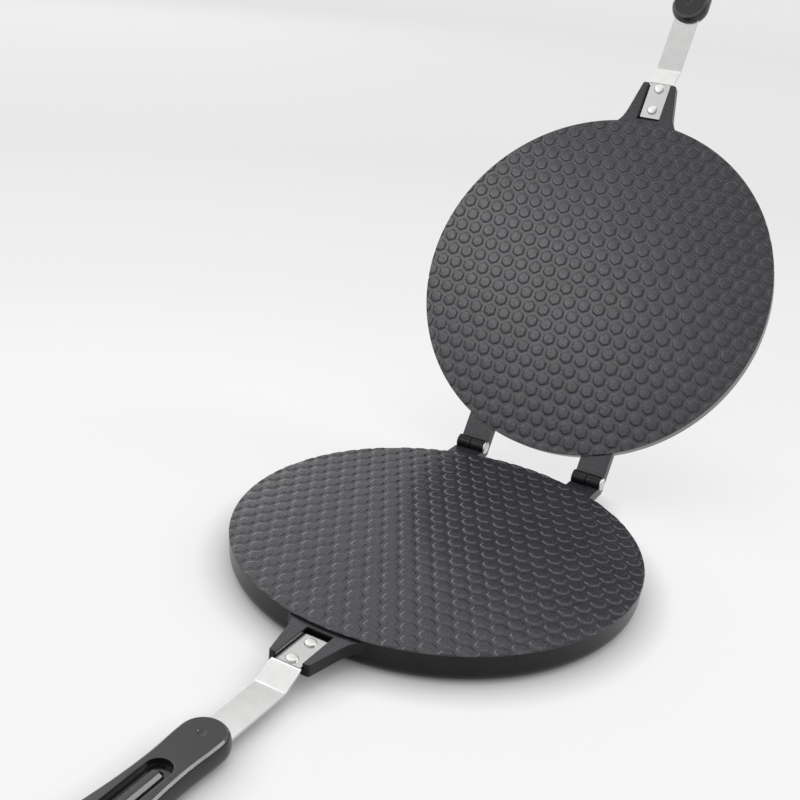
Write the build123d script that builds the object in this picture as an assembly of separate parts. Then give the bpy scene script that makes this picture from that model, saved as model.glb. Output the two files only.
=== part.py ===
from build123d import *
from math import ceil, cos, hypot, radians, sqrt, tan
import os

# Egg roll maker: two round cast plates that fold together on a pair of knuckle hinges,
# each with a stepped metal strap and a moulded handle. Sizes in millimetres and degrees.
# +X runs along the hinges, -Y towards the handles, +Z up.
# The origin is the centre of the ring that the lower plate stands on.

os.makedirs("parts", exist_ok=True)

# Cast plates: a thin disc with a deep rounded skirt, hollow underneath
plate_diameter = 200.0
plate_height = 15.0
side_draft = 2.0
edge_radius = 6.5
foot_width = 4.0
hollow_depth = 9.0
hollow_corner_radius = 3.0
boss_diameter = 40.0

# Raised hexagonal pads of the cooking face, in rows along X. The two moulds place them
# differently: a shift is where the pad nearest the middle of a plate has its centre.
pad_pitch = 8.96
pad_foot_width = 6.9
pad_height = 0.45
pad_wall_slope = 29.0
least_pad_share = 0.3
lower_pad_shift = (1.57, -0.45)
upper_pad_shift = (-0.85, -1.35)

# Hinges: two knuckles each, one from either plate, on the end of a lug
hinge_spacing = 70.6
hinge_overhang = 8.0
knuckle_diameter = 7.8
knuckle_length = 8.0
knuckle_side_gap = 0.3
lug_set_back = 1.5
lug_thickness = 5.5
lug_corner_chamfer = 0.8
notch_clearance = 0.5
closed_gap = 0.3
open_angle = 121.0
stop_clearance = 1.2

# Hinge pins, pressed into the lower knuckles and free in the upper ones
pin_diameter = 4.0
pin_running_clearance = 0.1
pin_head_diameter = 7.2
pin_head_thickness = 1.3
pin_dimple_diameter = 1.6
pin_end_inset = 0.3

# Fork that carries the strap, cast in one with the plate
fork_set_back = 1.5
fork_thickness = 5.5
fork_length = 25.0
fork_tip_width = 19.6
fork_root_width = 30.0
flare_width = 42.0
flare_length = 8.0
fork_tip_radius = 1.2
slot_width = 12.8
slot_gap_to_rim = 2.2
slot_floor = 2.0

# Strap: a flat steel bar with a step, so that it enters the handle half way up
strap_bare_length = 43.0
strap_thickness = 1.5
strap_width = 14.5
strap_side_clearance = 0.35
strap_end_clearance = 2.0
strap_shoulder_gap = 0.6
strap_step_start = 2.0
strap_step_run = 9.5
strap_bend_radius = 5.0
strap_corner_radius = 0.5

# Strap rivets
rivet_diameter = 3.2
rivet_head_diameter = 5.5
rivet_head_height = 1.2
rivet_tail_diameter = 4.8
rivet_tail_height = 0.8
rivet_inset = 5.0
rivet_tip_inset = 2.5

# Handles, seen from above: a round nose, a waist, a belly and a round end
handle_length = 125.0
handle_nose_width = 21.6
handle_waist_width = 20.0
handle_belly_width = 25.4
handle_end_width = 22.4
handle_waist_place = 31.0
handle_belly_place = 82.0
handle_floor_clearance = 0.4
handle_thickness = 10.9
handle_face_bevel = 2.0
handle_back_radius = 4.0

# Long recess in the flat face of a handle, with a tapered rib inside
recess_start = 29.5
recess_end_margin = 14.0
recess_width = 11.0
recess_depth = 2.6
rib_width = 6.4
rib_height = 2.2
rib_end_margin = 4.0
rib_end_chamfer = 2.0
rib_wall_slope = 38.0

# Screw that holds a handle on its strap, with a shallow dimple over its end
pocket_clearance = 0.1
pocket_depth = 75.0
screw_place = 11.0
screw_diameter = 3.0
screw_head_diameter = 5.8
screw_head_height = 1.6
screw_tip_cover = 1.8
screw_clearance = 0.1
screw_slot_width = 0.9
screw_slot_depth = 0.7
dimple_diameter = 4.0
dimple_depth = 0.5

# Worked out from the sizes above
plate_radius = plate_diameter / 2
groove_level = plate_height - pad_height
base_radius = plate_radius - plate_height * tan(radians(side_draft)) - edge_radius
hollow_radius = base_radius - foot_width
mating_level = plate_height + closed_gap / 2
hinge_reach = plate_radius + hinge_overhang
fork_reach = plate_radius + fork_length
handle_start = fork_reach + strap_bare_length
knuckle_radius = knuckle_diameter / 2
hinge_centres = (-hinge_spacing / 2, hinge_spacing / 2)
lug_top = plate_height - lug_set_back
fork_top = plate_height - fork_set_back
fork_base = fork_top - fork_thickness
slot_start = plate_radius + slot_gap_to_rim
strap_base = fork_base + slot_floor
strap_start = slot_start + strap_end_clearance
strap_neck_width = slot_width - 2 * strap_side_clearance
strap_run_base = handle_floor_clearance + (handle_thickness - strap_thickness) / 2
rivet_places = (strap_start + rivet_inset, fork_reach - rivet_tip_inset)
screw_y = -(handle_start + screw_place)


def plate_body():
    """Solid disc with drafted side and rounded lower edge."""
    side_foot = plate_radius - plate_height * tan(radians(side_draft))
    arc_middle = edge_radius * (1 - cos(radians(45)))
    outline = make_face(
        [
            Line((0, 0), (base_radius, 0)),
            ThreePointArc(
                (base_radius, 0),
                (side_foot - arc_middle, arc_middle),
                (side_foot, edge_radius),
            ),
            Line((side_foot, edge_radius), (plate_radius, groove_level)),
            Line((plate_radius, groove_level), (0, groove_level)),
            Line((0, groove_level), (0, 0)),
        ]
    )
    return revolve(Plane.XZ * outline, Axis.Z)


def plate_hollow():
    """Room under the disc, between the ring and the centre boss that it stands on."""
    room = extrude(Circle(hollow_radius), hollow_depth)
    room = fillet(room.faces().sort_by(Axis.Z)[-1].edges(), hollow_corner_radius)
    return room - extrude(Circle(boss_diameter / 2), hollow_depth)


def hinge_lug(centre):
    """Lug as wide as both knuckles, with its own knuckle on the +X half.

    The other half is hollowed round the mating knuckle. The rear face points at the hinge
    axis, so that the two lugs meet flat and stop the lid when it is open.
    """
    stop_slope = tan(radians(open_angle / 2 + stop_clearance))
    top_drop = mating_level - lug_top
    base_drop = top_drop + lug_thickness
    side = Plane.YZ * Polygon(
        (0, lug_top),
        (hinge_reach + top_drop / stop_slope, lug_top),
        (hinge_reach + base_drop / stop_slope, mating_level - base_drop),
        (0, mating_level - base_drop),
        align=None,
    )
    lug = Pos(centre, 0, 0) * extrude(side, knuckle_length + knuckle_side_gap / 2, both=True)
    rear_corner = lug.edges().filter_by(Axis.X).sort_by(Axis.Y)[-1]
    lug = chamfer(rear_corner, lug_corner_chamfer)
    axle = Plane.YZ * Pos(hinge_reach, mating_level)
    own_start = centre + knuckle_side_gap / 2
    notch = axle * Circle(knuckle_radius + notch_clearance)
    lug -= Pos(own_start, 0, 0) * extrude(notch, -knuckle_length - 2 * knuckle_side_gap)
    lug += Pos(own_start, 0, 0) * extrude(axle * Circle(knuckle_radius), knuckle_length)
    return lug


def strap_fork():
    """Two tapering tines that flare into the rim."""
    rim_radius = plate_radius - plate_height * tan(radians(side_draft))
    flare_start = (flare_width / 2, -sqrt(rim_radius**2 - (flare_width / 2) ** 2))
    rim_direction = (flare_start[1] / rim_radius, -flare_start[0] / rim_radius)
    tip = (fork_tip_width / 2, -fork_reach)
    side_length = fork_reach - plate_radius
    side_lean = (fork_root_width - fork_tip_width) / 2 / side_length
    flare_end = (fork_root_width / 2 - flare_length * side_lean, -plate_radius - flare_length)
    half = make_face(
        [
            Line((0, 0), flare_start),
            Spline(flare_start, flare_end, tangents=[rim_direction, (-side_lean, -1)]),
            Line(flare_end, tip),
            Line(tip, (0, -fork_reach)),
            Line((0, -fork_reach), (0, 0)),
        ]
    )
    fork = extrude(half + mirror(half, Plane.YZ), fork_thickness)
    fork = fillet(fork.edges().filter_by(Axis.Z).group_by(Axis.Y)[0], fork_tip_radius)
    return Pos(0, 0, fork_base) * fork


def face_pads(shift):
    """Low pads with sloping walls, apart from each other. The rim cuts the outer ones."""
    hexagon = RegularPolygon(pad_foot_width / 2, 6, major_radius=False, rotation=30)
    pad = extrude(hexagon, pad_height, taper=pad_wall_slope)
    rim = Pos(0, 0, groove_level + pad_height / 2) * Cylinder(plate_radius, pad_height)
    corner_reach = pad_foot_width / sqrt(3)
    cut_reach = pad_foot_width * (0.5 - least_pad_share)
    row_spacing = pad_pitch * sqrt(3) / 2
    count = ceil(plate_radius / row_spacing) + 1
    pads = []
    for row in range(-count, count + 1):
        for column in range(-count, count + 1):
            x = shift[0] + (column + row % 2 / 2) * pad_pitch
            y = shift[1] + row * row_spacing
            placed = Pos(x, y, groove_level) * pad
            reach = hypot(x, y)
            if reach + corner_reach < plate_radius:
                pads.append(placed.solid())
            elif reach < plate_radius + cut_reach:
                pads.append((placed & rim).solid())
    return pads


def cast_plate(pad_shift, bore_diameter):
    """One casting: plate, pads, strap fork, two lugs with knuckles."""
    plate = plate_body() + strap_fork()
    for centre in hinge_centres:
        plate += hinge_lug(centre)
    plate -= plate_hollow()
    slot_length = fork_reach - slot_start
    plate -= Pos(0, -slot_start - slot_length / 2, strap_base + fork_thickness / 2) * Box(
        slot_width, slot_length, fork_thickness
    )
    for place in rivet_places:
        plate -= Pos(0, -place, strap_base) * Cylinder(rivet_diameter / 2, 2 * fork_thickness)
    for centre in hinge_centres:
        plate -= Pos(centre, hinge_reach, mating_level) * Rot(0, 90, 0) * Cylinder(
            bore_diameter / 2, 2 * knuckle_length + 2 * knuckle_side_gap
        )
    return plate.solid().fuse(*face_pads(pad_shift), glue=True)


def bar_strap():
    """Flat bar, narrow between the tines, stepped down to the middle of the handle."""
    step_top = -(fork_reach + strap_step_start)
    step_foot = step_top - strap_step_run
    strap_end = handle_start + pocket_depth
    middle = strap_thickness / 2
    route = FilletPolyline(
        (-strap_start, strap_base + middle),
        (step_top, strap_base + middle),
        (step_foot, strap_run_base + middle),
        (-strap_end, strap_run_base + middle),
        radius=strap_bend_radius,
    )
    side = Plane.YZ * trace(route, strap_thickness)
    bar = extrude(side, strap_width / 2, both=True)
    neck_length = fork_reach - strap_start + strap_shoulder_gap
    run_length = strap_end - strap_start - neck_length
    neck = Pos(0, -strap_start - neck_length / 2) * Rectangle(strap_neck_width, neck_length)
    run = Pos(0, -strap_end + run_length / 2) * Rectangle(strap_width, run_length)
    plan = extrude(neck + run, plate_height)
    bar &= fillet(plan.edges().filter_by(Axis.Z), strap_corner_radius)
    for place in rivet_places:
        bar -= Pos(0, -place, strap_base) * Cylinder(rivet_diameter / 2, 4 * strap_thickness)
    bar -= Pos(0, screw_y, strap_run_base) * Cylinder(
        screw_diameter / 2 + screw_clearance, 4 * strap_thickness
    )
    return bar


def domed_head(diameter, height):
    """Low dome on the XY plane, with a small upright edge."""
    edge = height / 3
    rise = height - edge
    radius = ((diameter / 2) ** 2 + rise**2) / (2 * rise)
    ball = Pos(0, 0, height - radius) * Sphere(radius)
    return ball & Pos(0, 0, height / 2) * Cylinder(diameter / 2, height)


def strap_rivet(place):
    """Rivet with its domed head on the strap and its closed end under the fork."""
    head = Pos(0, 0, strap_base + strap_thickness) * domed_head(
        rivet_head_diameter, rivet_head_height
    )
    tail = Pos(0, 0, fork_base) * Rot(180, 0, 0) * domed_head(
        rivet_tail_diameter, rivet_tail_height
    )
    grip = slot_floor + strap_thickness
    shank = Pos(0, 0, fork_base + grip / 2) * Cylinder(rivet_diameter / 2, grip)
    return Pos(0, -place, 0) * (head + shank + tail)


def eased_side(start, finish):
    """Two equal arcs from start to finish, both of which run straight along the handle."""
    middle = ((start[0] + finish[0]) / 2, (start[1] + finish[1]) / 2)
    return [
        TangentArc(start, middle, tangent=(0, -1)),
        TangentArc(finish, middle, tangent=(0, 1)),
    ]


def handle_outline():
    """Plan of a handle, with its nose at the origin and its length along -Y."""
    nose = handle_nose_width / 2
    end = handle_end_width / 2
    nose_side = (nose, -nose)
    waist = (handle_waist_width / 2, -handle_waist_place)
    belly = (handle_belly_width / 2, -handle_belly_place)
    end_side = (end, end - handle_length)
    half = make_face(
        [
            CenterArc((0, -nose), nose, 0, 90),
            *eased_side(nose_side, waist),
            *eased_side(waist, belly),
            *eased_side(belly, end_side),
            CenterArc((0, end_side[1]), end, 270, 90),
            Line((0, -handle_length), (0, 0)),
        ]
    )
    return half + mirror(half, Plane.YZ)


def moulded_handle():
    """Flat-faced grip with a bevelled face edge and a rounded back."""
    grip = extrude(handle_outline(), handle_thickness)
    grip = fillet(grip.faces().sort_by(Axis.Z)[0].edges(), handle_back_radius)
    grip = chamfer(grip.faces().sort_by(Axis.Z)[-1].edges(), handle_face_bevel)
    recess_length = handle_length - recess_start - recess_end_margin
    recess_middle = -recess_start - recess_length / 2
    recess = SlotOverall(recess_length, recess_width, rotation=90)
    recess_floor = handle_thickness - recess_depth
    grip -= Pos(0, recess_middle, recess_floor) * extrude(recess, recess_depth)
    rib = Rectangle(rib_width, recess_length - 2 * rib_end_margin)
    rib = chamfer(rib.vertices(), rib_end_chamfer)
    rib = extrude(rib, rib_height, taper=rib_wall_slope)
    grip += Pos(0, recess_middle, recess_floor) * rib
    grip -= Pos(0, -screw_place, handle_thickness) * Cylinder(dimple_diameter / 2, 2 * dimple_depth)
    grip = Pos(0, -handle_start, handle_floor_clearance) * grip
    pocket_width = strap_width + 2 * pocket_clearance
    pocket_height = strap_thickness + pocket_clearance
    pocket_length = pocket_depth + pocket_clearance
    pocket_middle = handle_start + pocket_length / 2
    grip -= Pos(0, -pocket_middle, strap_run_base + pocket_height / 2) * Box(
        pocket_width, pocket_length, pocket_height
    )
    return grip - screw_body()


def screw_body():
    """Countersunk screw from the handle's back. It cuts its own thread in the handle."""
    length = handle_thickness - screw_tip_cover
    shank = Pos(0, 0, length / 2) * Cylinder(screw_diameter / 2, length)
    head = Pos(0, 0, screw_head_height / 2) * Cone(
        screw_head_diameter / 2, screw_diameter / 2, screw_head_height
    )
    return Pos(0, screw_y, handle_floor_clearance) * (shank + head)


def handle_screw():
    """The screw itself, with a slot across its head."""
    slot = Pos(0, screw_y, handle_floor_clearance) * Box(
        screw_slot_width, screw_head_diameter, 2 * screw_slot_depth
    )
    return screw_body() - slot


def hinge_pin(centre):
    """Headed pin along X, which ends just inside the upper knuckle."""
    shank_start = pin_end_inset - knuckle_side_gap / 2 - knuckle_length
    shank_end = knuckle_side_gap / 2 + knuckle_length
    length = shank_end - shank_start
    shank = Pos(0, 0, shank_start + length / 2) * Cylinder(pin_diameter / 2, length)
    head = Pos(0, 0, shank_end) * domed_head(pin_head_diameter, pin_head_thickness)
    head -= Pos(0, 0, shank_end + pin_head_thickness) * Cone(0, pin_dimple_diameter / 2, 0.5)
    return Pos(centre, hinge_reach, mating_level) * Rot(0, 90, 0) * (shank + head)


def turned_over(piece):
    """A lower piece turned face down onto its mate, as on the closed lid."""
    return piece.rotate(Axis((0, 0, mating_level), (0, 1, 0)), 180)


def lifted(piece):
    """A piece of the closed lid, turned about the hinges to the open stop."""
    return piece.rotate(Axis((0, hinge_reach, mating_level), (1, 0, 0)), -open_angle)


export_step(cast_plate(lower_pad_shift, pin_diameter), "parts/lower_plate.step")
upper_plate = cast_plate(upper_pad_shift, pin_diameter + 2 * pin_running_clearance)
export_step(lifted(turned_over(upper_plate)), "parts/upper_plate.step")
pieces = {
    "strap": bar_strap(),
    "strap_rivet_inner": strap_rivet(rivet_places[0]),
    "strap_rivet_outer": strap_rivet(rivet_places[1]),
    "handle": moulded_handle(),
    "handle_screw": handle_screw(),
}
for name, piece in pieces.items():
    export_step(piece, f"parts/lower_{name}.step")
    export_step(lifted(turned_over(piece)), f"parts/upper_{name}.step")
for name, centre in zip(("left", "right"), hinge_centres):
    export_step(hinge_pin(centre), f"parts/hinge_pin_{name}.step")
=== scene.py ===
from math import atan2, ceil, cos, exp, pi, radians, sin, sqrt, tan

import bmesh
import bpy
from mathutils import Matrix, Vector
from mathutils.geometry import interpolate_bezier


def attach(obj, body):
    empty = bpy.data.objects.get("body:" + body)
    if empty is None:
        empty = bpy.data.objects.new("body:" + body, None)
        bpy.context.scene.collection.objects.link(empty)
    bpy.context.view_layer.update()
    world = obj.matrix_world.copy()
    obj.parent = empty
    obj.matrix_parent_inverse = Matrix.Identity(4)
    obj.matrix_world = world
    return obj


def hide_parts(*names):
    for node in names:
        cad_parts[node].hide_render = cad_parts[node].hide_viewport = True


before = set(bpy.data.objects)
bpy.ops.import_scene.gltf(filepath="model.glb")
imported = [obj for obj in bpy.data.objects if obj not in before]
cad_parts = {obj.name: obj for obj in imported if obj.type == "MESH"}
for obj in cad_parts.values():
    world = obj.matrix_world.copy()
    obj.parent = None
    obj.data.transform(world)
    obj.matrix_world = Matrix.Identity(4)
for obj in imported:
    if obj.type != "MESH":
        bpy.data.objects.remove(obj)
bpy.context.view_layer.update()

# The two plates are one aluminium casting, made twice: a thin disc with a deep rounded skirt,
# hollow underneath, with a fork for the handle strap and two hinge lugs cast on. Six-sided
# pads cover the cooking face, and a charcoal non-stick coating is baked on all over.

# Either half of the pan rides on a body of its own. Lengths are in millimetres until a
# finished piece goes to its place in the frame.
halves = (("lower", "base"), ("upper", "lid"))
millimetre = 0.001
plate_radius = 100.0
plate_height = 15.0
side_draft = 2.0
lower_edge_radius = 6.5
foot_width = 4.0
hollow_depth = 9.0
hollow_rounding = 3.0
boss_radius = 20.0

# Pads stand in rows along X. An inset is measured from the line half way to the next pad.
pad_pitch = 8.96
pad_row_spacing = pad_pitch * sqrt(3) / 2
pad_height = 0.45
ground_level = plate_height - pad_height
pad_foot_inset = 0.85
pad_shoulder_inset = 1.6
pad_ring_insets = (0.0, 0.83, 0.98, 1.2, 1.42, 1.6, 1.95)
pad_corner_sharpness = 11
pad_edge_drop = 0.035
pad_crown_width = 0.35
pad_block_base = -1.0
pad_shifts = {"lower": (1.57, -0.45), "upper": (-0.85, -1.35)}


def pad_inset(x, y):
    """How far a point lies inside the ground of its pad, whose corners are a little rounded."""
    across = (x, x / 2 + y * sqrt(3) / 2, x / 2 - y * sqrt(3) / 2)
    reach = sum(abs(distance) ** pad_corner_sharpness for distance in across)
    return pad_pitch / 2 - reach ** (1 / pad_corner_sharpness)


def pad_level(x, y):
    """Level of the cooking face, measured from the middle of a pad: ground, wall, low crown."""
    inset = pad_inset(x, y)
    climb = (inset - pad_foot_inset) / (pad_shoulder_inset - pad_foot_inset)
    climb = min(max(climb, 0.0), 1.0)
    climb = climb * (1 + climb * (3 - 2 * climb)) / 2
    sunk = pad_edge_drop * exp(-max(inset - pad_shoulder_inset, 0.0) / pad_crown_width)
    return ground_level + climb * (pad_height - sunk)


def pad_rings():
    """One pad about its own middle, as rings of points from its ground up to its crown."""
    corners = []
    for turn in range(30, 390, 60):
        out = Vector((cos(radians(turn)), sin(radians(turn))))
        corners.append(out * pad_pitch / sqrt(3))
    outline = []
    for start, finish in zip(corners, corners[1:] + corners[:1]):
        outline += [start.lerp(finish, part) for part in (0.0, 0.15, 0.5, 0.85)]
    rings = []
    for inset in pad_ring_insets:
        ring = []
        for spoke in outline:
            share = 1.0
            if inset > 0:
                share = (pad_pitch / 2 - inset) / (pad_pitch / 2 - pad_inset(*spoke))
            spot = spoke * share
            ring.append(Vector((*spot, pad_level(*spot))))
        rings.append(ring)
    return rings


def pad_field(shift):
    """Every pad that a plate can hold. Shift is the middle of the pad nearest its centre."""
    rings = pad_rings()
    count = len(rings[0])
    points = []
    faces = []
    rows = ceil(plate_radius / pad_row_spacing) + 1
    for row in range(-rows, rows + 1):
        for column in range(-rows, rows + 1):
            along = shift[0] + (column + row % 2 / 2) * pad_pitch
            middle = Vector((along, shift[1] + row * pad_row_spacing, 0))
            if middle.length > plate_radius + pad_pitch / 2:
                continue
            first = len(points)
            points += [middle + point for ring in rings for point in ring]
            crown = len(points)
            points.append(middle + Vector((0, 0, plate_height)))
            faces += faces_between_rings(first, crown - count, count)
            for i in range(count):
                faces.append((crown - count + i, crown - count + (i + 1) % count, crown))
    return points, faces


def faces_between_rings(first, last, count):
    """Join rings of points, from the ring that begins at point first to the one at last."""
    faces = []
    for start in range(first, last, count):
        for i in range(count):
            j = (i + 1) % count
            faces.append((start + i, start + j, start + count + j, start + count + i))
    return faces


def solid(name, points, faces):
    """A piece of raw work, with nothing done to it yet."""
    mesh = bpy.data.meshes.new(name)
    mesh.from_pydata(points, [], faces)
    piece = bpy.data.objects.new(name, mesh)
    bpy.context.scene.collection.objects.link(piece)
    return piece


def pad_block(shift):
    """The field of pads on a thick block, which the outline of the plate is cut from."""
    block = solid("pads", *pad_field(shift))
    work = bmesh.new()
    work.from_mesh(block.data)
    bmesh.ops.remove_doubles(work, verts=work.verts, dist=0.002)
    border = [edge for edge in work.edges if edge.is_boundary]
    skirt = bmesh.ops.extrude_edge_only(work, edges=border)["geom"]
    for part in skirt:
        if isinstance(part, bmesh.types.BMVert):
            part.co.z = pad_block_base
    edges = [part for part in skirt if isinstance(part, bmesh.types.BMEdge)]
    bmesh.ops.edgeloop_fill(work, edges=[edge for edge in edges if edge.is_boundary])
    bmesh.ops.recalc_face_normals(work, faces=work.faces)
    work.to_mesh(block.data)
    work.free()
    return block


def plate_blank(name):
    """Rim, drafted side, rounded lower edge, foot, hollow and centre boss, turned in one."""
    foot_radius = plate_radius - plate_height * tan(radians(side_draft)) - lower_edge_radius
    hollow_radius = foot_radius - foot_width
    rim = ((0.7, -0.6), (0.34, 0), (0.16, 0.2), (0.06, 0.4), (0, 0.65), (0.02, 1), (0.05, 1.6))
    soft_edge = ((0.8, 0), (0.4, 0), (0.12, 0.12), (0, 0.4), (0, 0.8))
    boss_root = ((2, 0), (1.4, 0), (0.7, 0.19), (0.19, 0.7), (0, 1.4), (0, 2))
    profile = [(0, plate_height + 0.6)]
    profile += [(plate_radius - inset, plate_height - drop) for inset, drop in rim]
    profile.append((plate_radius - 0.47, lower_edge_radius + 0.8))
    for turn in range(0, 91, 10):
        out = lower_edge_radius * cos(radians(turn))
        profile.append((foot_radius + out, lower_edge_radius * (1 - sin(radians(turn)))))
    profile.append((foot_radius - 0.5, 0))
    profile += [(hollow_radius + out, up) for out, up in soft_edge]
    profile.append((hollow_radius, hollow_depth - hollow_rounding - 0.4))
    for turn in range(0, 91, 15):
        inset = hollow_rounding * (1 - cos(radians(turn)))
        drop = hollow_rounding * (1 - sin(radians(turn)))
        profile.append((hollow_radius - inset, hollow_depth - drop))
    profile.append((hollow_radius - hollow_rounding - 0.6, hollow_depth))
    profile += [(boss_radius + out, hollow_depth - drop) for out, drop in boss_root]
    profile += [(boss_radius - out, up) for out, up in reversed(soft_edge)]
    profile.append((0, 0))
    return turned(name, profile, steps=360)


def turned(name, profile, place=Matrix(), steps=48):
    """A piece turned on a lathe from its radius and level, which starts and ends at its axis."""
    points = [place @ Vector((0, 0, profile[0][1]))]
    for radius, level in profile[1:-1]:
        for step in range(steps):
            turn = 2 * pi * step / steps
            points.append(place @ Vector((radius * cos(turn), radius * sin(turn), level)))
    points.append(place @ Vector((0, 0, profile[-1][1])))
    last = len(points) - 1
    faces = []
    for i in range(steps):
        j = (i + 1) % steps
        faces.append((0, 1 + i, 1 + j))
        faces.append((last, last - steps + j, last - steps + i))
        for start in range(1, last - steps, steps):
            faces.append((start + i, start + steps + i, start + steps + j, start + j))
    piece = solid(name, points, faces)
    square_up(piece)
    return piece


def square_up(piece):
    """Turn every face of a closed piece outwards."""
    work = bmesh.new()
    work.from_mesh(piece.data)
    bmesh.ops.recalc_face_normals(work, faces=work.faces)
    work.to_mesh(piece.data)
    work.free()


def settle(piece):
    """Keep the shape that a piece's modifiers give it."""
    graph = bpy.context.evaluated_depsgraph_get()
    shape = bpy.data.meshes.new_from_object(piece.evaluated_get(graph))
    piece.modifiers.clear()
    piece.data = shape


def combined(piece, part, how):
    """Work a part into a piece. The part is used up."""
    change = piece.modifiers.new("join", "BOOLEAN")
    change.operation = how
    change.solver = "MANIFOLD"
    change.object = part
    settle(piece)
    bpy.data.objects.remove(part)


def cast_on(piece, part):
    """Make a part one with a piece."""
    combined(piece, part, "UNION")


def cut_away(piece, part):
    """Take the room of a part out of a piece."""
    combined(piece, part, "DIFFERENCE")


# Hinge lugs. What is drawn upright is laid down with its axis along X, where the pins lie.
lying = Matrix(((0, 0, 1, 0), (1, 0, 0, 0), (0, 1, 0, 0), (0, 0, 0, 1)))
hinge_spacing = 70.6
hinge_middles = (-hinge_spacing / 2, hinge_spacing / 2)
hinge_overhang = 8.0
hinge_reach = plate_radius + hinge_overhang
closed_gap = 0.3
hinge_level = plate_height + closed_gap / 2
knuckle_radius = 3.9
knuckle_length = 8.0
knuckle_gap = 0.3
knuckle_start = knuckle_gap / 2
knuckle_end = knuckle_start + knuckle_length
notch_radius = knuckle_radius + 0.5
lug_root = 88.0
lug_set_back = 1.5
lug_thickness = 5.5
lug_top = plate_height - lug_set_back
lug_base = lug_top - lug_thickness
open_angle = 121.0
stop_clearance = 1.2
pin_radius = 2.0
pin_clearance = 0.1
bore_radii = {"lower": pin_radius, "upper": pin_radius + pin_clearance}


def at_hinge(middle):
    """The place of a turned piece on the hinge axis."""
    return Matrix.Translation((middle, hinge_reach, hinge_level)) @ lying


def hinge_lug(middle):
    """One lug with its own knuckle on one half and room for the other plate's beside it."""
    slope = tan(radians(open_angle / 2 + stop_clearance))
    top_end = hinge_reach + (hinge_level - lug_top) / slope
    base_end = hinge_reach + (hinge_level - lug_base) / slope
    side = [
        (lug_root, lug_base),
        (base_end - 0.9, lug_base),
        (base_end - 0.35, lug_base + 0.7),
        (top_end, lug_top),
        (lug_root, lug_top),
    ]
    lug = slab("lug", side, middle - knuckle_end, middle + knuckle_end, lying)
    drilled(lug, notch_radius, -knuckle_end - 1, knuckle_start, at_hinge(middle))
    eased(lug, 0.35)
    soft_edge = ((0.35, 0), (0.1, 0.1), (0, 0.35))
    knuckle = [(0, knuckle_start)]
    knuckle += [(knuckle_radius - out, knuckle_start + along) for out, along in soft_edge]
    knuckle += [(knuckle_radius - out, knuckle_end - along) for out, along in reversed(soft_edge)]
    knuckle.append((0, knuckle_end))
    cast_on(lug, turned("knuckle", knuckle, at_hinge(middle), 64))
    return lug


def slab(name, outline, low, high, place=Matrix()):
    """A flat outline given thickness, then put in place."""
    rings = []
    for level in (low, high):
        rings.append([place @ Vector((*point, level)) for point in outline])
    return lofted(name, rings)


def lofted(name, rings):
    """A closed piece drawn over rings of points, with a flat face on the first and the last."""
    count = len(rings[0])
    points = [point for ring in rings for point in ring]
    last = len(points) - count
    faces = [tuple(range(count)), *faces_between_rings(0, last, count)]
    faces.append(tuple(range(last, len(points))))
    piece = solid(name, points, faces)
    square_up(piece)
    return piece


def drilled(piece, radius, low, high, place):
    """Drill a round hole in a piece, from one level to another."""
    hole = [(0, low), (radius, low), (radius, high), (0, high)]
    cut_away(piece, turned("hole", hole, place))


def eased(piece, width):
    """Round off the sharp edges of a piece."""
    rounding = piece.modifiers.new("edges", "BEVEL")
    rounding.width = width
    rounding.segments = 3
    rounding.limit_method = "ANGLE"
    rounding.angle_limit = radians(35)
    settle(piece)


# Fork for the strap. Its widths are half widths, and it reaches towards -Y.
fork_length = 25.0
fork_reach = plate_radius + fork_length
fork_seat = 93.0
fork_set_back = 1.5
fork_thickness = 5.5
fork_top = plate_height - fork_set_back
fork_base = fork_top - fork_thickness
fork_tip = 9.8
fork_root = 15.0
tine_lean = (fork_root - fork_tip) / fork_length
tip_rounding = 1.2
flare_root = Vector((21.0, -97.24))
flare_reach = plate_radius + 8.0
slot_half = 6.4
slot_start = plate_radius + 2.2
slot_floor = fork_base + 2.0
rivet_radius = 1.6
rivet_reaches = {"inner": slot_start + 7.0, "outer": fork_reach - 2.5}


def strap_fork():
    """Two tapering tines that flare into the rim, with a floor that the strap lies on."""
    tine = Vector((fork_tip + tine_lean * (fork_reach - flare_reach), -flare_reach))
    from_rim = flare_root + Vector((-4.6, -1.0))
    from_tine = tine + Vector((1.1, 5.2))
    right = [Vector((flare_root.x, -fork_seat))]
    right += interpolate_bezier(flare_root, from_rim, from_tine, tine, 14)
    corner = fork_tip + tip_rounding * (tine_lean - sqrt(1 + tine_lean**2))
    for turn in range(-12, -91, -13):
        out = tip_rounding * cos(radians(turn))
        right.append(Vector((corner + out, tip_rounding * (1 + sin(radians(turn))) - fork_reach)))
    outline = right + [(-x, y) for x, y in reversed(right)]
    fork = slab("fork", outline, fork_base, fork_top)
    beyond = -fork_reach - 5
    slot = [
        (-slot_half, beyond),
        (slot_half, beyond),
        (slot_half, -slot_start),
        (-slot_half, -slot_start),
    ]
    cut_away(fork, slab("slot", slot, slot_floor, fork_top + 5))
    eased(fork, 0.4)
    return fork


def casting(name, shift, bore_radius):
    """One plate with everything that is cast on it, drilled for its pins and rivets."""
    plate = plate_blank(name)
    combined(plate, pad_block(shift), "INTERSECT")
    cast_on(plate, strap_fork())
    for middle in hinge_middles:
        cast_on(plate, hinge_lug(middle))
        drilled(plate, bore_radius, -knuckle_end - 0.5, knuckle_end + 0.5, at_hinge(middle))
    for reach in rivet_reaches.values():
        at_rivet = Matrix.Translation((0, -reach, 0))
        drilled(plate, rivet_radius, fork_base - 3, slot_floor + 2, at_rivet)
    clear_slivers(plate)
    return plate


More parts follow.
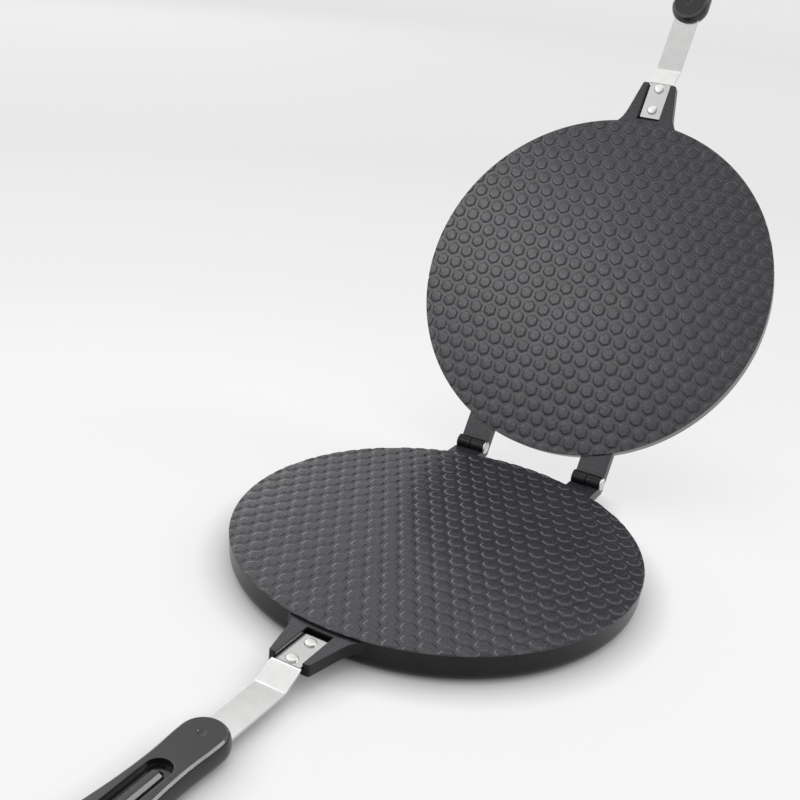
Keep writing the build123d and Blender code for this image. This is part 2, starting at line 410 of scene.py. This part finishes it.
def clear_slivers(piece):
    """Take out the faces without any width that cutting leaves."""
    work = bmesh.new()
    work.from_mesh(piece.data)
    bmesh.ops.dissolve_degenerate(work, edges=work.edges, dist=0.001)
    work.to_mesh(piece.data)
    work.free()


def coated_casting():
    """Charcoal non-stick coating on the cooking face: a satin skin with coarse sprayed grain."""
    material, tree, shader = new_finish("coated_casting")
    dark, light = (0.017, 0.016, 0.021), (0.026, 0.025, 0.032)
    fleck = (0.06, 0.058, 0.067)
    cloud = grain(tree, 0.05, detail=4)
    coarse = grain(tree, 0.75)
    speck = grain(tree, 1.3, detail=2)
    plain = tinted(tree, spread(tree, cloud, 0, 1), dark, light)
    flecked = tinted(tree, spread(tree, speck, 0, 0.6, 0.45, 0.7), plain, fleck)
    tree.links.new(flecked, shader.inputs["Base Color"])
    tree.links.new(spread(tree, coarse, 0.21, 0.3), shader.inputs["Roughness"])
    bump(tree, shader, coarse, 0.07, 0.8)
    return material


def coated_side_painted_shade():
    """The same coating, smooth, painted nearly black as painted shade on all but the cooking face
    and flat tops.
    """
    material, tree, shader = new_finish("coated_casting_painted_shade")
    dark, light = (0.004, 0.004, 0.005), (0.009, 0.009, 0.01)
    cloud = grain(tree, 0.09, detail=4)
    speck = grain(tree, 3.0, detail=2)
    tree.links.new(
        tinted(tree, spread(tree, cloud, 0, 1), dark, light), shader.inputs["Base Color"]
    )
    tree.links.new(spread(tree, speck, 0.2, 0.3), shader.inputs["Roughness"])
    shader.inputs["IOR"].default_value = 1.33
    bump(tree, shader, speck, 0.012, 0.5)
    return material


def new_finish(name):
    """A plain material, with its tree of nodes and the shader to set up."""
    material = bpy.data.materials.new(name)
    material.use_nodes = True
    return material, material.node_tree, material.node_tree.nodes["Principled BSDF"]


def grain(tree, scale, detail=3, stretch=(1, 1, 1)):
    """Noise that keeps to a piece as it was cast or cut, with its scale per millimetre."""
    own = tree.nodes.new("ShaderNodeAttribute")
    own.attribute_name = "as_cast"
    pull = tree.nodes.new("ShaderNodeMapping")
    pull.inputs["Scale"].default_value = stretch
    noise = tree.nodes.new("ShaderNodeTexNoise")
    noise.inputs["Scale"].default_value = scale
    noise.inputs["Detail"].default_value = detail
    tree.links.new(own.outputs["Vector"], pull.inputs["Vector"])
    tree.links.new(pull.outputs["Vector"], noise.inputs["Vector"])
    return noise.outputs["Fac"]


def spread(tree, value, low, high, start=0.3, finish=0.7):
    """A value drawn out over another range. Grain lies mostly between 0.3 and 0.7."""
    limits = tree.nodes.new("ShaderNodeMapRange")
    limits.inputs["From Min"].default_value = start
    limits.inputs["From Max"].default_value = finish
    limits.inputs["To Min"].default_value = low
    limits.inputs["To Max"].default_value = high
    tree.links.new(value, limits.inputs["Value"])
    return limits.outputs["Result"]


def tinted(tree, value, first, second):
    """From one colour to another as the value goes from 0 to 1."""
    mix = tree.nodes.new("ShaderNodeMix")
    mix.data_type = "RGBA"
    tree.links.new(value, mix.inputs["Factor"])
    for socket, colour in ((mix.inputs[6], first), (mix.inputs[7], second)):
        if isinstance(colour, tuple):
            socket.default_value = (*colour, 1)
        else:
            tree.links.new(colour, socket)
    return mix.outputs[2]


def bump(tree, shader, value, depth, strength):
    """Small relief. Depth is in millimetres."""
    relief = tree.nodes.new("ShaderNodeBump")
    relief.inputs["Distance"].default_value = depth * millimetre
    relief.inputs["Strength"].default_value = strength
    tree.links.new(value, relief.inputs["Height"])
    tree.links.new(relief.outputs["Normal"], shader.inputs["Normal"])


def painted_shade_on(part):
    """0 on the cooking face and the flat tops, and 1 elsewhere, where the coating is painted darker
    as painted shade.
    """
    on_face = part.center.z >= ground_level - 0.1 and abs(part.center.y) <= plate_radius
    on_flat_top = abs(part.center.z - fork_top) < 0.1 and part.normal.z > 0.99
    return 0 if on_face or on_flat_top else 1


def placed(piece, body, *finishes, finish_on=lambda part: 0):
    """Put a piece where it belongs in the frame, in metres, and give each part its finish."""
    shape = piece.data
    own = shape.attributes.new("as_cast", "FLOAT_VECTOR", "POINT")
    for corner, spot in zip(shape.vertices, own.data):
        spot.vector = corner.co
    chosen = [finish_on(part) for part in shape.polygons]
    place = Matrix.Scale(millimetre, 4)
    if body == "lid":
        place = lid_lift() @ place
    shape.transform(place)
    shape.shade_smooth()
    shape.set_sharp_from_angle(angle=radians(40))
    level = piece.modifiers.new("flats", "WEIGHTED_NORMAL")
    level.keep_sharp = True
    settle(piece)
    piece.data.materials.clear()
    for finish in finishes:
        piece.data.materials.append(finish)
    for part, kind in zip(piece.data.polygons, chosen):
        part.material_index = kind
    return piece


def lid_lift():
    """Turn the upper half over on to the lower one, then swing it open on the hinges."""
    mate = Matrix.Translation((0, 0, hinge_level * millimetre))
    fold = mate @ Matrix.Rotation(pi, 4, "Y") @ mate.inverted()
    axis = Matrix.Translation((0, hinge_reach * millimetre, hinge_level * millimetre))
    return axis @ Matrix.Rotation(radians(-open_angle), 4, "X") @ axis.inverted() @ fold


coating = coated_casting()
# The near-black copy of the coating is painted shade on the sides, lugs and knuckles
side_coating_painted_shade = coated_side_painted_shade()
for half, body in halves:
    plate = casting(f"{half}_plate_casting", pad_shifts[half], bore_radii[half])
    placed(plate, body, coating, side_coating_painted_shade, finish_on=painted_shade_on)
    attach(plate, body)
    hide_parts(f"{half}_plate")


# Two plated steel pins with a low head and a centre mark hold the plates together. They are
# pressed into the lower knuckles and reach almost through the upper ones, which turn on them.

# Radius and height of the head above the end of the knuckle, from the centre mark outwards
pin_head = (
    (0, 0.95),
    (0.6, 1.21),
    (0.85, 1.28),
    (1.1, 1.28),
    (2.6, 1.21),
    (3.2, 1.0),
    (3.52, 0.7),
    (3.6, 0.35),
    (3.55, 0.1),
    (3.4, 0.01),
)
pin_end = 0.3 - knuckle_end


def plated_steel(name, clouds, marks, dark, light, roughness):
    """Plated steel, cloudy in tone, with fine marks. Clouds and marks are scales of grain."""
    material, tree, shader = new_finish(name)
    shader.inputs["Metallic"].default_value = 1.0
    cloud = grain(tree, clouds)
    tree.links.new(
        tinted(tree, spread(tree, cloud, 0, 1), dark, light), shader.inputs["Base Color"]
    )
    tree.links.new(spread(tree, cloud, *roughness), shader.inputs["Roughness"])
    bump(tree, shader, grain(tree, marks), 0.01, 0.4)
    return material


pin_steel = plated_steel(
    "pin_steel",
    clouds=1.1,
    marks=6.0,
    dark=(0.55, 0.56, 0.58),
    light=(0.72, 0.72, 0.73),
    roughness=(0.24, 0.38),
)
for side, middle in zip(("left", "right"), hinge_middles):
    profile = [(radius, knuckle_end + height) for radius, height in pin_head]
    profile += [(pin_radius, knuckle_end), (pin_radius, pin_end + 0.35)]
    profile += [(pin_radius - 0.3, pin_end), (0, pin_end)]
    pin = turned(f"hinge_pin_{side}_turned", profile, at_hinge(middle))
    placed(pin, "base", pin_steel)
    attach(pin, "base")
    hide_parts(f"hinge_pin_{side}")


# Each strap is a flat bar of bright stainless steel. It is narrow where it lies between the
# tines, has a shoulder just past their tips, steps down and enters the handle half way up.
strap_thickness = 1.5
strap_start = slot_start + 2.0
strap_neck = slot_half - 0.35
strap_half = 7.25
strap_corner = 0.5
strap_softening = 0.22
strap_hole_radius = 1.6
shoulder = fork_reach + 0.6
step_start = fork_reach + 2.0
step_run = 9.5
bend_radius = 5.0
handle_start = fork_reach + 43.0
strap_end = handle_start + 75.0
screw_reach = handle_start + 11.0
handle_base = 0.4
pocket_base = 5.1


def strap_route():
    """Stations along the middle of the bar: distance from the centre, level and lean. They are
    close together where its width or its lean changes."""
    high = slot_floor + strap_thickness / 2
    low = pocket_base + strap_thickness / 2
    lean = atan2(low - high, step_run)
    tangent = bend_radius * tan(abs(lean) / 2)
    flat = [strap_start + along for along in (0, 0.06, 0.25, 0.5, 1.8, 10.8)]
    flat += [shoulder + along for along in (-0.7, -0.5, -0.25, -0.1, 0, 0.15, 0.5)]
    stations = [(reach, high, 0) for reach in flat]
    for step in range(7):
        turn = lean * step / 6
        reach = step_start - tangent - bend_radius * sin(turn)
        stations.append((reach, high - bend_radius * (1 - cos(turn)), turn))
    for step in range(7):
        turn = lean * (1 - step / 6)
        reach = step_start + step_run + tangent + bend_radius * sin(turn)
        stations.append((reach, low + bend_radius * (1 - cos(turn)), turn))
    flat = [140, 155, 170, 200, strap_end - 0.7, strap_end - 0.2, strap_end]
    return stations + [(reach, low, 0) for reach in flat]


def strap_half_width(reach):
    """Half width along the strap: rounded end, neck, shoulder, full width, rounded end."""
    from_start = reach - strap_start
    to_shoulder = shoulder - reach
    from_end = strap_end - reach
    if from_start < strap_corner:
        return strap_neck - strap_corner + corner_rise(from_start)
    if to_shoulder >= strap_corner:
        return strap_neck
    if to_shoulder > 0:
        return strap_neck + strap_corner - corner_rise(to_shoulder)
    if to_shoulder > -strap_corner:
        return strap_half - strap_corner + corner_rise(-to_shoulder)
    return strap_half - strap_corner + corner_rise(min(from_end, strap_corner))


def corner_rise(along):
    """How far a corner of the strap has come up at a distance from where it starts."""
    return sqrt(max(strap_corner**2 - (strap_corner - along) ** 2, 0))


def bar_strap(name):
    """The strap drawn along its route, with softened edges, and drilled."""
    soft = strap_softening
    thick = strap_thickness / 2 - soft
    rings = []
    for reach, level, lean in strap_route():
        wide = strap_half_width(reach) - soft
        corners = ((wide, -thick, -90), (wide, thick, 0), (-wide, thick, 90), (-wide, -thick, 180))
        ring = []
        for out, up, first in corners:
            for turn in (first, first + 45, first + 90):
                x = out + soft * cos(radians(turn))
                rise = up + soft * sin(radians(turn))
                ring.append((x, rise * sin(lean) - reach, level + rise * cos(lean)))
        rings.append(ring)
    strap = lofted(name, rings)
    for reach in (*rivet_reaches.values(), screw_reach):
        drilled(strap, strap_hole_radius, 0, 20, Matrix.Translation((0, -reach, 0)))
    return strap


def strap_steel():
    """Bright rolled steel with fine lines along its length and faint smears."""
    material, tree, shader = new_finish("strap_steel")
    shader.inputs["Metallic"].default_value = 1.0
    dark, light = (0.64, 0.635, 0.63), (0.69, 0.685, 0.68)
    lines = grain(tree, 6.0, detail=4, stretch=(1.0, 0.04, 1.0))
    smear = grain(tree, 0.16)
    tree.links.new(
        tinted(tree, spread(tree, smear, 0, 1), dark, light), shader.inputs["Base Color"]
    )
    tree.links.new(spread(tree, lines, 0.13, 0.2), shader.inputs["Roughness"])
    bump(tree, shader, lines, 0.002, 0.3)
    return material


bright_steel = strap_steel()
for half, body in halves:
    strap = placed(bar_strap(f"{half}_strap_bar"), body, bright_steel)
    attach(strap, body)
    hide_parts(f"{half}_strap")


# Two aluminium rivets through each strap and the floor of its fork. The heads are flat
# buttons about a millimetre thick, and the far ends are set over under the fork.

# Radius and height of the head above the strap, and radius and depth of the tail below the fork
rivet_head = (
    (0, 1.2),
    (1.4, 1.17),
    (2.15, 1.08),
    (2.5, 0.92),
    (2.7, 0.65),
    (2.75, 0.4),
    (2.75, 0.1),
    (2.65, 0),
    (rivet_radius, 0),
)
rivet_tail = ((rivet_radius, 0), (2.3, 0), (2.4, 0.15), (2.3, 0.45), (1.9, 0.7), (0, 0.8))


def rivet_metal():
    """Soft aluminium, pale, with dull marks from the riveting tool."""
    material, tree, shader = new_finish("rivet_metal")
    shader.inputs["Metallic"].default_value = 1.0
    dark, light = (0.6, 0.6, 0.6), (0.7, 0.69, 0.68)
    marks = grain(tree, 1.6)
    tree.links.new(
        tinted(tree, spread(tree, marks, 0, 1), dark, light), shader.inputs["Base Color"]
    )
    tree.links.new(spread(tree, marks, 0.34, 0.46), shader.inputs["Roughness"])
    bump(tree, shader, marks, 0.02, 0.3)
    return material


aluminium = rivet_metal()
strap_top = slot_floor + strap_thickness
for half, body in halves:
    for end, reach in rivet_reaches.items():
        profile = [(radius, strap_top + height) for radius, height in rivet_head]
        profile += [(radius, fork_base - depth) for radius, depth in rivet_tail]
        place = Matrix.Translation((0, -reach, 0))
        rivet = turned(f"{half}_strap_rivet_{end}_set", profile, place)
        placed(rivet, body, aluminium)
        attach(rivet, body)
        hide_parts(f"{half}_strap_rivet_{end}")


# The handles are moulded in gloss black phenolic, flat and satin on the faces that meet. Each
# face has a bevelled edge, a dimple over the end of the screw, and a long recess with a rib.
handle_length = 125.0
handle_thickness = 10.9
nose_radius = 10.8
end_radius = 11.2
waist = (10.0, 31.0)
belly = (12.7, 82.0)
back_rounding = 5.2
bevel_foot = 10.0
recess_from = 29.5
recess_to = 111.0
recess_half = 5.5
recess_depth = 2.6
rib_half = 3.2
rib_half_length = 36.75
rib_corner_cut = 2.0
screw_radius = 1.5
screw_length = 9.1
screw_head_depth = 1.6
at_screw = Matrix.Translation((0, handle_start - screw_reach, 0))

# Distance in from the handle's widest outline, and level, from the upright side to the flat face
side_and_bevel = (
    (0.03, 6.2),
    (0.15, 7.3),
    (0.4, 8.4),
    (0.75, 9.3),
    (1.05, 9.8),
    (1.18, 9.98),
    (1.3, 10.11),
    (1.98, 10.77),
    (2.08, 10.84),
    (2.22, 10.89),
    (2.4, handle_thickness),
    (2.7, handle_thickness),
)

# Distance out from the recess's own outline, and depth, from its lip to its floor
recess_wall = (
    (0.5, 0),
    (0.14, 0),
    (0.04, 0.05),
    (0, 0.16),
    (0, recess_depth - 0.3),
    (-0.08, recess_depth - 0.08),
    (-0.3, recess_depth),
    (-0.6, recess_depth),
)


def handle_edge():
    """One side of a handle in plan, nose first. Each point is followed by its partner on the
    recess: a place on the recess's middle line, and the way out from there."""
    first = recess_from + recess_half
    last = recess_to - recess_half
    edge = []
    for step in range(14):
        turn = radians(90 * step / 14)
        point = (nose_radius * sin(turn), nose_radius * (1 - cos(turn)))
        edge.append((point, first, (sin(turn), -cos(turn))))
    stations = ((nose_radius, nose_radius), waist, belly, (end_radius, handle_length - end_radius))
    for start, finish in zip(stations, stations[1:]):
        for step in range(12):
            part = step / 12
            swell = 2 * part**2 if part < 0.5 else 1 - 2 * (1 - part) ** 2
            along = start[1] + (finish[1] - start[1]) * part
            point = (start[0] + (finish[0] - start[0]) * swell, along)
            share = (along - nose_radius) / (handle_length - end_radius - nose_radius)
            edge.append((point, first + share * (last - first), (1.0, 0.0)))
    for step in range(15):
        turn = radians(90 * step / 14)
        point = (end_radius * cos(turn), handle_length - end_radius * (1 - sin(turn)))
        edge.append((point, last, (cos(turn), sin(turn))))
    return edge


def handle_body(name):
    """Rounded back, upright side, bevel, flat face and recess, as rings from back to floor."""
    edge = handle_edge()
    for (x, along), middle, (out, on) in reversed(edge[1:-1]):
        edge.append(((-x, along), middle, (-out, on)))
    outline = [Vector(point) for point, middle, out in edge]
    outward = []
    for before, after in zip(outline[-1:] + outline[:-1], outline[1:] + outline[:1]):
        run = after - before
        outward.append(Vector((run.y, -run.x)).normalized())
    insets = [(back_rounding + 0.4, 0)]
    for turn in range(0, 91, 10):
        inset = back_rounding * (1 - sin(radians(turn)))
        insets.append((inset, back_rounding * (1 - cos(radians(turn)))))
    rings = []
    for inset, level in (*insets, *side_and_bevel):
        spots = [point - out * inset for point, out in zip(outline, outward)]
        rings.append([(spot.x, -spot.y, level) for spot in spots])
    for beyond, depth in recess_wall:
        wide = recess_half + beyond
        ring = []
        for point, middle, (out, on) in edge:
            ring.append((out * wide, -(middle + on * wide), handle_thickness - depth))
        rings.append(ring)
    return lofted(name, rings)


def handle_rib():
    """Tapered rib on the floor of the recess, with cut corners at both ends."""
    middle = (recess_from + recess_to) / 2
    floor_level = handle_thickness - recess_depth
    slope = ((-0.04, -0.05), (0, 0), (0.3, 0.5), (1.6, 1.85), (2.0, 2.14), (2.3, 2.2))
    rings = []
    for inset, rise in slope:
        wide = rib_half - inset
        long = rib_half_length - inset
        cut = rib_corner_cut - (2 - sqrt(2)) * inset
        end = [(wide, long - cut), (wide - cut, long), (cut - wide, long), (-wide, long - cut)]
        outline = end + [(-x, -along) for x, along in end]
        rings.append([(x, along - middle, floor_level + rise) for x, along in outline])
    return lofted("rib", rings)


def moulded_handle(name):
    """The handle with its rib, dimple, pocket for the strap and hole for the screw."""
    handle = handle_body(name)
    cast_on(handle, handle_rib())
    top = handle_thickness
    dimple = [
        (0, top - 0.5),
        (1.4, top - 0.48),
        (1.75, top - 0.38),
        (1.95, top - 0.12),
        (2.1, top + 0.02),
        (2.1, top + 1),
        (0, top + 1),
    ]
    cut_away(handle, turned("dimple", dimple, at_screw))
    wide = strap_half + 0.1
    inner_end = handle_start - strap_end - 0.1
    pocket = [(-wide, inner_end), (wide, inner_end), (wide, 5), (-wide, 5)]
    low = pocket_base - handle_base
    cut_away(handle, slab("pocket", pocket, low, low + strap_thickness + 0.1))
    hole = [
        (0, -1),
        (2.95, -1),
        (2.95, 0.02),
        (screw_radius, screw_head_depth),
        (screw_radius, screw_length),
        (0, screw_length),
    ]
    cut_away(handle, turned("hole", hole, at_screw))
    handle.data.transform(Matrix.Translation((0, -handle_start, handle_base)))
    return handle


def handle_plastic(name, rough_low, rough_high, tone):
    """Black phenolic, glossy as it leaves the mould, duller where its roughness is set higher. A
    lighter tone given to it is a painted highlight.
    """
    material, tree, shader = new_finish(name)
    cloud = grain(tree, 0.12)
    dust = grain(tree, 4.5, detail=2)
    dark = tuple(0.6 * part for part in tone)
    tree.links.new(tinted(tree, spread(tree, cloud, 0, 1), dark, tone), shader.inputs["Base Color"])
    tree.links.new(spread(tree, dust, rough_low, rough_high), shader.inputs["Roughness"])
    bump(tree, shader, dust, 0.006, 0.3)
    return material


def skin_on(part):
    """0 for the gloss sides and back, 1 for the bevel, painted lighter as a highlight, and 2 for
    the satin flat face.
    """
    if part.center.z <= handle_base + bevel_foot or part.normal.z <= 0.3:
        return 0
    return 2 if part.normal.z > 0.95 else 1


gloss_black = handle_plastic("handle_plastic", 0.12, 0.2, (0.008, 0.008, 0.0095))
# The lighter plastic on the bevel is a painted highlight
painted_highlight_black = handle_plastic("handle_plastic_painted_highlight", 0.14, 0.24, (0.09, 0.088, 0.092))
satin_black = handle_plastic("handle_plastic_face", 0.2, 0.28, (0.016, 0.0155, 0.018))
for half, body in halves:
    handle = moulded_handle(f"{half}_handle_moulding")
    placed(handle, body, gloss_black, painted_highlight_black, satin_black, finish_on=skin_on)
    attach(handle, body)
    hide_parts(f"{half}_handle")


# One countersunk steel screw from the back of each handle goes through the strap and cuts
# its own thread in the plastic. Its slotted head lies level with the back.
driver_slot_half = 0.45
driver_slot_depth = 0.7
zinc = plated_steel(
    "screw_steel",
    clouds=1.4,
    marks=7.0,
    dark=(0.5, 0.51, 0.54),
    light=(0.66, 0.67, 0.69),
    roughness=(0.28, 0.42),
)
for half, body in halves:
    profile = [
        (0, 0),
        (2.55, 0),
        (2.78, 0.06),
        (2.88, 0.16),
        (screw_radius, screw_head_depth),
        (screw_radius, screw_length - 0.5),
        (screw_radius - 0.3, screw_length),
        (0, screw_length),
    ]
    place = Matrix.Translation((0, -screw_reach, handle_base))
    screw = turned(f"{half}_handle_screw_turned", profile, place)
    wide = driver_slot_half
    cut = [(-wide, -4), (wide, -4), (wide, 4), (-wide, 4)]
    cut_away(screw, slab("driver_slot", cut, -1, driver_slot_depth, place))
    placed(screw, body, zinc)
    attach(screw, body)
    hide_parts(f"{half}_handle_screw")


# The pan stands on a wide pale matt table in an even, pale room. Two broad lamps hang over it,
# and four more stand round it, the strongest behind it on the right.
table_half = 12000.0
table_level = -0.3
room_light = 0.5
room_tone = 0.82

# The table's painted tone at five distances from a point under the camera, in metres. Its rise and
# fall with distance is painted light falloff.
fade_middle = (0.2, -0.45, 0.0)
fade_reach = 8.0
fade_stops = ((0.7, 0.965), (0.92, 0.87), (1.5, 0.77), (4.8, 0.92), (6.8, 0.955))
painted_shadow_reach = 0.018
painted_tone_share = 0.7


def pale_table():
    """Pale matt table. As it is seen, most of its tone is painted on, so that shadows are faint.
    That tone changes slowly with distance as painted light falloff, and darkens quickly where the
    pan all but touches the table as a painted contact shadow."""
    material, tree, matt = new_finish("pale_table")
    matt.inputs["Base Color"].default_value = (0.85, 0.85, 0.85, 1)
    matt.inputs["Roughness"].default_value = 0.8
    place = tree.nodes.new("ShaderNodeTexCoord")
    away = tree.nodes.new("ShaderNodeVectorMath")
    away.operation = "DISTANCE"
    away.inputs[1].default_value = fade_middle
    tree.links.new(place.outputs["Object"], away.inputs[0])
    fade = tree.nodes.new("ShaderNodeValToRGB")
    tree.links.new(spread(tree, away.outputs["Value"], 0, 1, 0, fade_reach), fade.inputs["Fac"])
    stops = fade.color_ramp.elements
    while len(stops) < len(fade_stops):
        stops.new(0.5)
    for stop, (distance, tone) in zip(stops, fade_stops):
        stop.position = distance / fade_reach
        stop.color = (tone, tone, tone, 1)
    # Ambient occlusion darkens the painted tone near the pan: a painted contact shadow
    painted_contact_shadow = tree.nodes.new("ShaderNodeAmbientOcclusion")
    painted_contact_shadow.inputs["Distance"].default_value = painted_shadow_reach
    tree.links.new(fade.outputs["Color"], painted_contact_shadow.inputs["Color"])
    painted_tone = tree.nodes.new("ShaderNodeEmission")
    tree.links.new(painted_contact_shadow.outputs["Color"], painted_tone.inputs["Color"])
    blend = tree.nodes.new("ShaderNodeMixShader")
    tree.links.new(spread(tree, seen_ray(tree), 0, painted_tone_share, 0, 1), blend.inputs["Fac"])
    tree.links.new(matt.outputs["BSDF"], blend.inputs[1])
    tree.links.new(painted_tone.outputs["Emission"], blend.inputs[2])
    tree.links.new(blend.outputs["Shader"], tree.nodes["Material Output"].inputs["Surface"])
    return material


def seen_ray(tree):
    """1 for what the camera sees, by itself or mirrored, and 0 for light on the object."""
    ray = tree.nodes.new("ShaderNodeLightPath")
    seen = ray.outputs["Is Camera Ray"]
    for other in ("Is Glossy Ray", "Is Transmission Ray"):
        either = tree.nodes.new("ShaderNodeMath")
        either.operation = "MAXIMUM"
        tree.links.new(seen, either.inputs[0])
        tree.links.new(ray.outputs[other], either.inputs[1])
        seen = either.outputs["Value"]
    return seen


def soft_lamp(name, place, width, tall, power):
    """A large lamp that faces the pan. Lengths are in metres."""
    lamp = bpy.data.lights.new(name, "AREA")
    lamp.shape = "RECTANGLE"
    lamp.size = width
    lamp.size_y = tall
    lamp.energy = power
    stand = bpy.data.objects.new(name, lamp)
    stand.location = place
    towards_pan = Vector((0, 0.05, 0.05)) - Vector(place)
    stand.rotation_euler = towards_pan.to_track_quat("-Z", "Y").to_euler()
    bpy.context.scene.collection.objects.link(stand)


table_corners = [
    (-table_half, -table_half, table_level),
    (table_half, -table_half, table_level),
    (table_half, table_half, table_level),
    (-table_half, table_half, table_level),
]
floor = solid("table_top", table_corners, [(0, 1, 2, 3)])
floor.data.transform(Matrix.Scale(millimetre, 4))
floor.data.materials.append(pale_table())

room = bpy.data.worlds.new("room")
bpy.context.scene.world = room
room.use_nodes = True
walls = room.node_tree.nodes["Background"]
walls.inputs["Color"].default_value = (1.0, 1.0, 1.0, 1)
brightness = spread(room.node_tree, seen_ray(room.node_tree), room_light, room_tone, 0, 1)
room.node_tree.links.new(brightness, walls.inputs["Strength"])

soft_lamp("front_lamp", (-1.45, -1.7, 2.2), 1.6, 0.45, 11.5)
soft_lamp("top_lamp", (-0.6, 0.65, 2.3), 2.8, 2.8, 10)
soft_lamp("ceiling_lamp", (0.25, 0.1, 2.3), 1.2, 1.2, 5)
soft_lamp("side_lamp", (-2.0, 0.7, 1.75), 1.8, 1.5, 9)
soft_lamp("right_lamp", (2.0, 1.8, 1.55), 1.1, 1.1, 26)
soft_lamp("left_lamp", (-2.2, 2.1, 0.9), 1.2, 0.6, 6)


# The camera looks down at the open pan from the front right, a little over half a metre away
# from its middle. Its place, turn and lens were fitted to the photograph.
camera = bpy.data.cameras.new("camera")
camera.lens = 52.92
camera.sensor_width = 36.0
viewer = bpy.data.objects.new("camera", camera)
viewer.location = (0.213035, -0.456863, 0.288892)
viewer.rotation_euler = (radians(67.6828), radians(-5.3673), radians(29.9895))
bpy.context.scene.collection.objects.link(viewer)
bpy.context.scene.camera = viewer
bpy.context.scene.view_settings.view_transform = "Standard"

# Bring the scene up to date once more at the end
bpy.context.view_layer.update()
